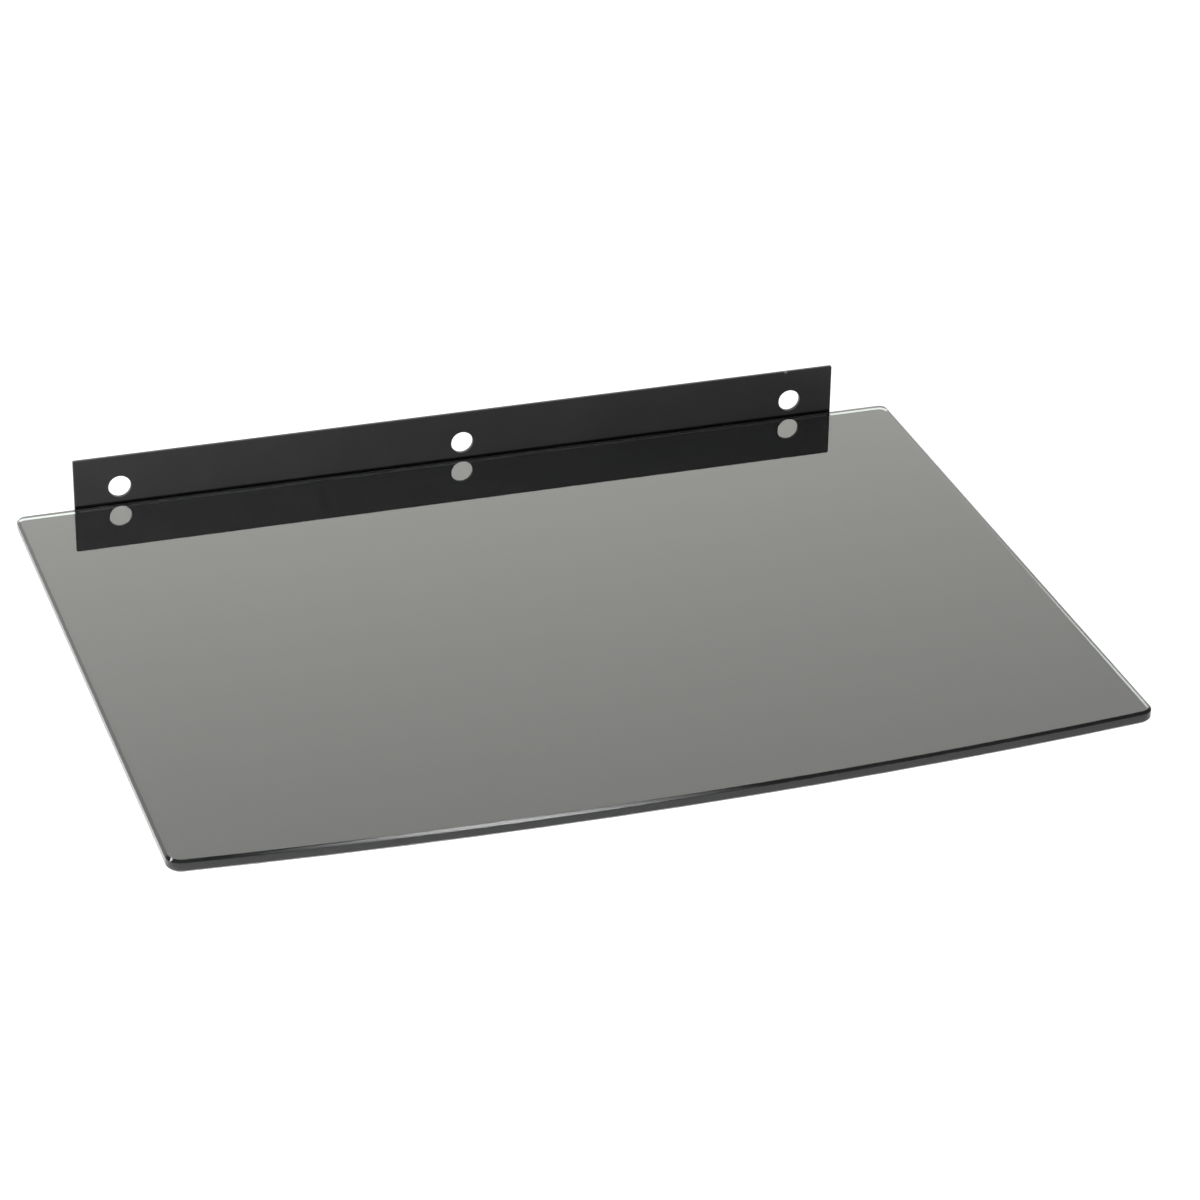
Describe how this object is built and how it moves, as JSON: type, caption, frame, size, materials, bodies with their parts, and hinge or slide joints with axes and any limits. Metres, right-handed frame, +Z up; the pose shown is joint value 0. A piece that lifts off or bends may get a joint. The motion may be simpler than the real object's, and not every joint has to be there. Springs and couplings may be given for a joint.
{
  "type": "wall shelf",
  "caption": "Wall shelf: a sheet of black-backed glass with a bowed front, bonded to a folded steel bracket that screws to the wall.",
  "frame": {"origin": "middle of the bracket's wall face, at the centre of its middle screw hole", "axes": "+Z up, +Y out of the bracket's back into the wall, +X along the wall to the right of someone facing the shelf"},
  "size_m": [0.38, 0.2907, 0.0274],
  "materials": {
    "clear_glass": "polished",
    "black_enamel": "satin",
    "black_powder_coat": "satin",
    "cured_adhesive": "satin"
  },
  "bodies": {
    "root": {"glass_panel": "clear_glass", "enamel_coat": "black_enamel", "wall_bracket": "black_powder_coat", "bond_film": "cured_adhesive"}
  },
  "joints": []
}
